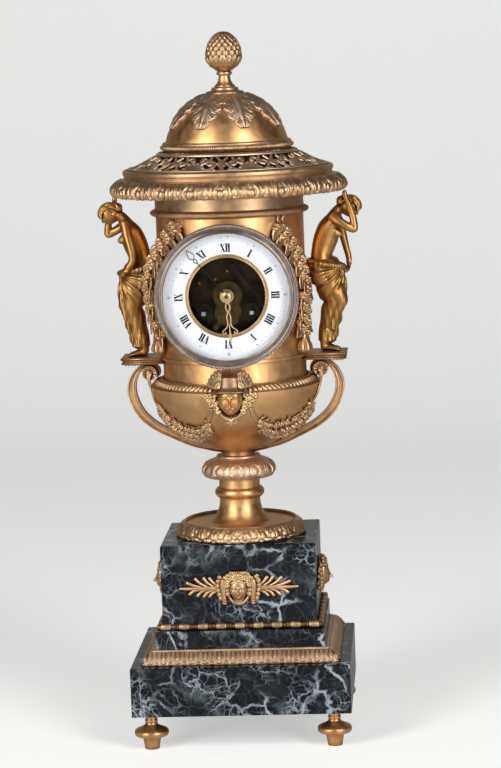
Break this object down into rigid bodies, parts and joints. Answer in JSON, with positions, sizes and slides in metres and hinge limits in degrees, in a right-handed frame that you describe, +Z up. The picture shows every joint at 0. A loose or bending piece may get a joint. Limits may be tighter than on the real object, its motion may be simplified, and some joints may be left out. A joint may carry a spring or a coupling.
{
  "type": "mantel clock",
  "caption": "Urn-shaped mantel clock on a stepped marble base, with two standing figures, a hinged glazed bezel, an open-centre dial and a striking pendulum movement.",
  "frame": {"origin": "on the surface that the feet stand on, under the middle of the clock", "axes": "+Z up, +X to the right seen from the front, -Y towards the viewer who faces the dial"},
  "size_m": [0.23, 0.202, 0.6002],
  "materials": {
    "gilt_bronze": "matte fire-gilt bronze, worn to grey-brown in the recesses",
    "marble": "polished dark green-black marble with pale veins",
    "brass": "satin brass with a dull patina",
    "steel": "satin steel",
    "dark_steel": "dark blued steel",
    "enamel": "glossy white enamel",
    "glass": "clear bevelled glass"
  },
  "bodies": {
    "case": {"back_plate": "brass", "base_block": "marble", "bead_moulding": "gilt_bronze", "bell": "brass", "bowl": "gilt_bronze", "cocks": "brass", "cornice": "gilt_bronze", "dial_drum": "brass", "dial_pan": "brass", "dome": "gilt_bronze", "dome_leaves": "gilt_bronze", "dome_ring": "gilt_bronze", "enamel_dial": "enamel", "feet": "gilt_bronze", "festoons": "gilt_bronze", "finial": "gilt_bronze", "foot_ring": "gilt_bronze", "front_plate": "brass", "gallery": "gilt_bronze", "garlands": "gilt_bronze", "handles": "gilt_bronze", "hinge_pins": "steel", "leaf_moulding": "gilt_bronze", "maiden_left": "gilt_bronze", "maiden_right": "gilt_bronze", "neck_ring": "gilt_bronze", "pedestal": "gilt_bronze", "plinth_block": "marble", "plinth_mounts": "gilt_bronze", "rear_ring": "brass", "shelves": "gilt_bronze", "shoulder_band": "gilt_bronze", "stem_collar": "gilt_bronze", "step_block": "marble", "straps": "brass", "tie_nuts": "steel", "tie_rod": "steel", "urn_body": "gilt_bronze", "winged_mask": "gilt_bronze"},
    "bezel": {"dial_bezel": "gilt_bronze", "dial_glass": "glass"},
    "back_door": {"rear_door": "brass"},
    "center": {"center_wheel": "brass"},
    "third": {"third_wheel": "brass"},
    "escape": {"escape_wheel": "brass"},
    "going_drum": {"going_barrel": "brass"},
    "strike_drum": {"strike_barrel": "brass"},
    "going_key_arbor": {"going_arbor": "steel"},
    "strike_key_arbor": {"strike_arbor": "steel"},
    "pins": {"pin_wheel": "brass"},
    "minute": {"cannon_pinion": "brass", "minute_hand": "dark_steel"},
    "minute_gear": {"minute_wheel": "brass"},
    "hour": {"hour_wheel": "brass", "hour_hand": "gilt_bronze"},
    "swing": {"pallets": "steel", "pendulum": "brass"},
    "striker": {"hammer": "steel"},
    "regulator": {"regulator_arbor": "steel"},
    "lever": {"strike_lever": "steel"}
  },
  "joints": [
    {"name": "bezel_hinge", "type": "hinge", "parent": "case", "child": "bezel", "pos_m": [-0.0597, -0.0685, 0.3825], "axis": [0, 0, -1], "range_deg": [0, 100]},
    {"name": "back_door_hinge", "type": "hinge", "parent": "case", "child": "back_door", "pos_m": [0.0537, 0.0645, 0.3825], "axis": [0, 0, -1], "range_deg": [0, 110]},
    {"name": "center_turn", "type": "hinge", "parent": "case", "child": "center", "pos_m": [0, 0, 0.3825], "axis": [0, 1, 0], "continuous": true},
    {"name": "third_turn", "type": "hinge", "parent": "case", "child": "third", "pos_m": [-0.01, 0, 0.3954], "axis": [0, 1, 0], "continuous": true},
    {"name": "escape_turn", "type": "hinge", "parent": "case", "child": "escape", "pos_m": [0, 0, 0.40185], "axis": [0, 1, 0], "continuous": true},
    {"name": "going_barrel_turn", "type": "hinge", "parent": "case", "child": "going_drum", "pos_m": [0.02, 0, 0.368], "axis": [0, 1, 0], "continuous": true},
    {"name": "minute_turn", "type": "hinge", "parent": "case", "child": "minute", "pos_m": [0, 0, 0.3825], "axis": [0, 1, 0], "continuous": true},
    {"name": "minute_wheel_turn", "type": "hinge", "parent": "case", "child": "minute_gear", "pos_m": [0, 0, 0.3675], "axis": [0, 1, 0], "continuous": true},
    {"name": "hour_turn", "type": "hinge", "parent": "case", "child": "hour", "pos_m": [0, 0, 0.3825], "axis": [0, 1, 0], "continuous": true},
    {"name": "strike_barrel_turn", "type": "hinge", "parent": "case", "child": "strike_drum", "pos_m": [-0.02, 0, 0.368], "axis": [0, 1, 0], "continuous": true},
    {"name": "pin_wheel_turn", "type": "hinge", "parent": "case", "child": "pins", "pos_m": [-0.02344, 0, 0.39246], "axis": [0, 1, 0], "continuous": true},
    {"name": "going_wind", "type": "hinge", "parent": "case", "child": "going_key_arbor", "pos_m": [0.02, 0, 0.368], "axis": [0, 1, 0], "range_deg": [0, 1620]},
    {"name": "strike_wind", "type": "hinge", "parent": "case", "child": "strike_key_arbor", "pos_m": [-0.02, 0, 0.368], "axis": [0, 1, 0], "range_deg": [0, 1620]},
    {"name": "pendulum_swing", "type": "hinge", "parent": "case", "child": "swing", "pos_m": [0, 0, 0.4185], "axis": [0, 1, 0], "range_deg": [-2.5, 2.5]},
    {"name": "hammer_lift", "type": "hinge", "parent": "case", "child": "striker", "pos_m": [-0.037, 0, 0.3945], "axis": [0, -1, 0], "range_deg": [0, 12]},
    {"name": "regulator_turn", "type": "hinge", "parent": "case", "child": "regulator", "pos_m": [0, 0, 0.429], "axis": [0, 1, 0], "range_deg": [-720, 720]},
    {"name": "lever_lift", "type": "hinge", "parent": "case", "child": "lever", "pos_m": [0.004, 0, 0.4058], "axis": [0, -1, 0], "range_deg": [0, 6]}
  ],
  "couplings": [
    {"joint": "center_turn", "follows": "going_barrel_turn", "ratio": -5},
    {"joint": "third_turn", "follows": "going_barrel_turn", "ratio": 30},
    {"joint": "escape_turn", "follows": "going_barrel_turn", "ratio": -180},
    {"joint": "minute_turn", "follows": "going_barrel_turn", "ratio": -5},
    {"joint": "minute_wheel_turn", "follows": "going_barrel_turn", "ratio": 1.6667},
    {"joint": "hour_turn", "follows": "going_barrel_turn", "ratio": -0.41667},
    {"joint": "pin_wheel_turn", "follows": "strike_barrel_turn", "ratio": -5}
  ]
}
